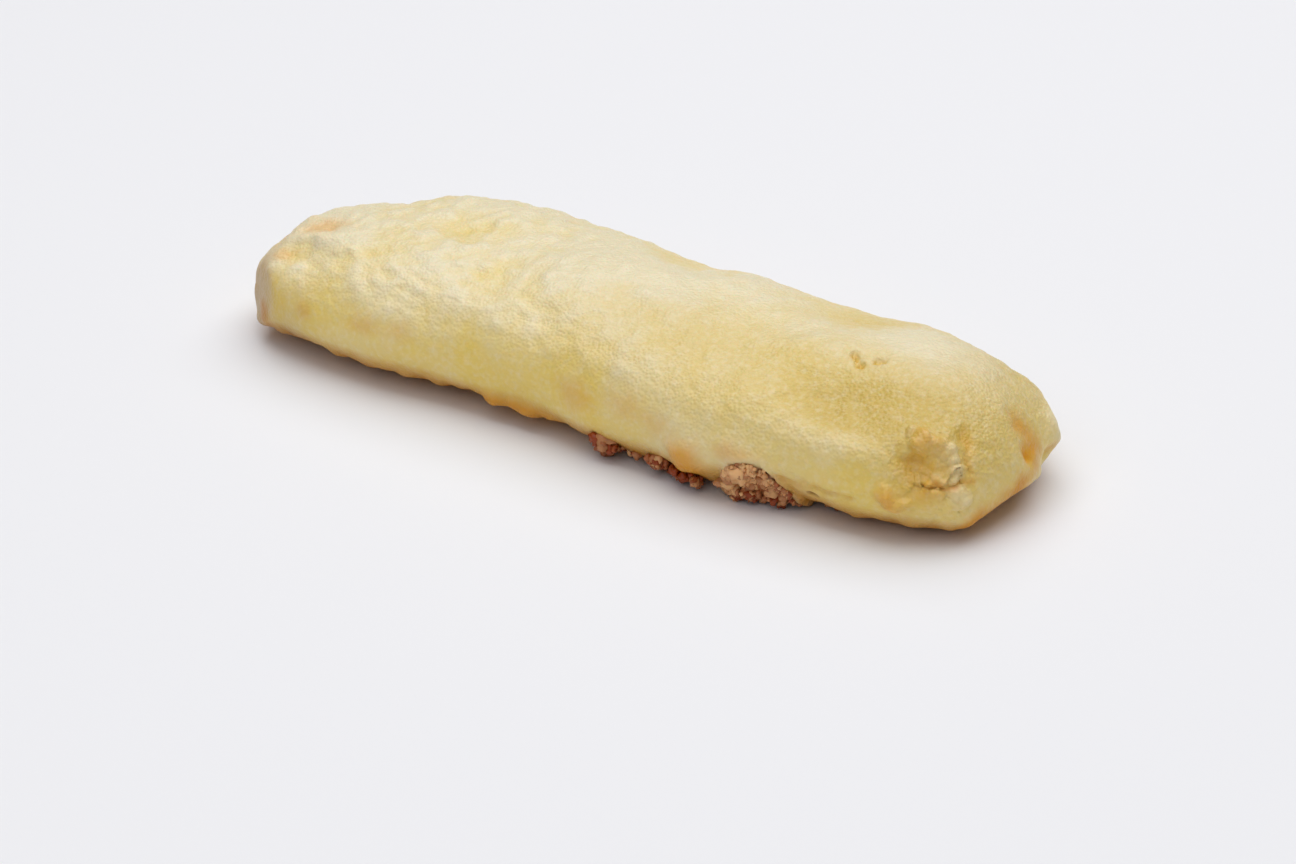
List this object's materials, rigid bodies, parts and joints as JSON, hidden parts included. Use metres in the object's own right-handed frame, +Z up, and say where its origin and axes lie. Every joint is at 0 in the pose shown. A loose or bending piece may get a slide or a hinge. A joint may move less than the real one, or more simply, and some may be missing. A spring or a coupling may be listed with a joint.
{
  "type": "battered fried fish fillet",
  "caption": "Long strip of white fish in pale golden fried batter, puffed and dimpled, with browned scraps along its lower front edge; lies on a flat underside.",
  "frame": {"origin": "on the resting plane, under the middle of the strip's overall box", "axes": "+X along the strip to its rounded end, +Y to its back edge, +Z up from the surface it lies on"},
  "size_m": [0.1361, 0.05, 0.0213],
  "materials": {
    "fried_batter": "dry pale golden fried batter with fine blisters, a little oil sheen and browned scraps"
  },
  "bodies": {
    "root": {"battered_fillet": "fried_batter"}
  },
  "joints": []
}
